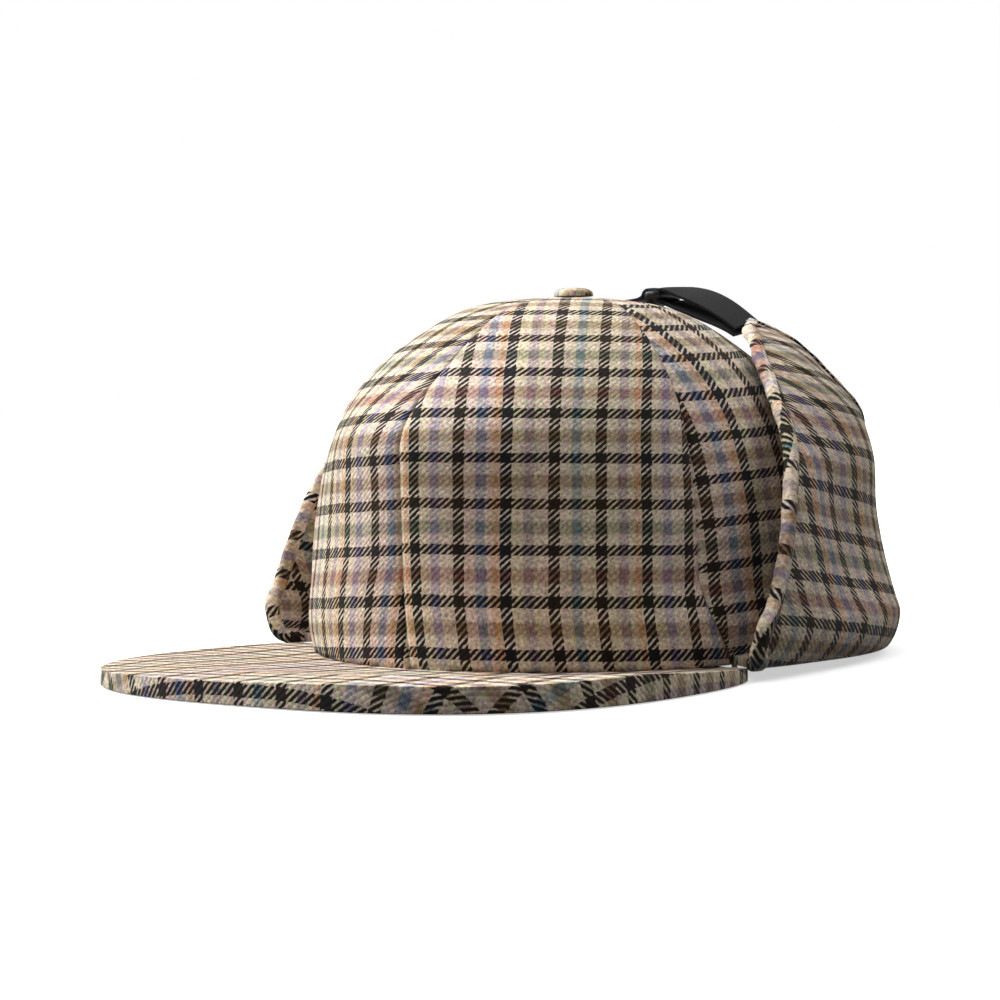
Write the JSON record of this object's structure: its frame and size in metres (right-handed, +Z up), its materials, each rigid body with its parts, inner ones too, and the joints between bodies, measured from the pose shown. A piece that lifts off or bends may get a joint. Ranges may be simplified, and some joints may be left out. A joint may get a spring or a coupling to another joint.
{
  "type": "earflap cap",
  "caption": "Checked wool cap with a panelled crown, a flat brim, and earflaps turned up and held over the crown by a black strap and ring.",
  "frame": {"origin": "on the surface the cap stands on, under the middle of its length and width", "axes": "+Z up, the brim points to -Y, +X is the wearer's left"},
  "size_m": [0.203, 0.2933, 0.1265],
  "materials": {
    "wool": "matte woven twill plaid",
    "webbing": "matte flat webbing",
    "ring_plastic": "satin"
  },
  "bodies": {
    "root": {"crown_panel_front_left": "wool", "crown_panel_front_right": "wool", "crown_panel_side_left": "wool", "crown_panel_side_right": "wool", "crown_panel_back_left": "wool", "crown_panel_back_right": "wool", "crown_button": "wool", "brim": "wool", "earflap": "wool", "strap_left": "webbing", "strap_right": "webbing", "strap_ring": "ring_plastic"}
  },
  "joints": []
}
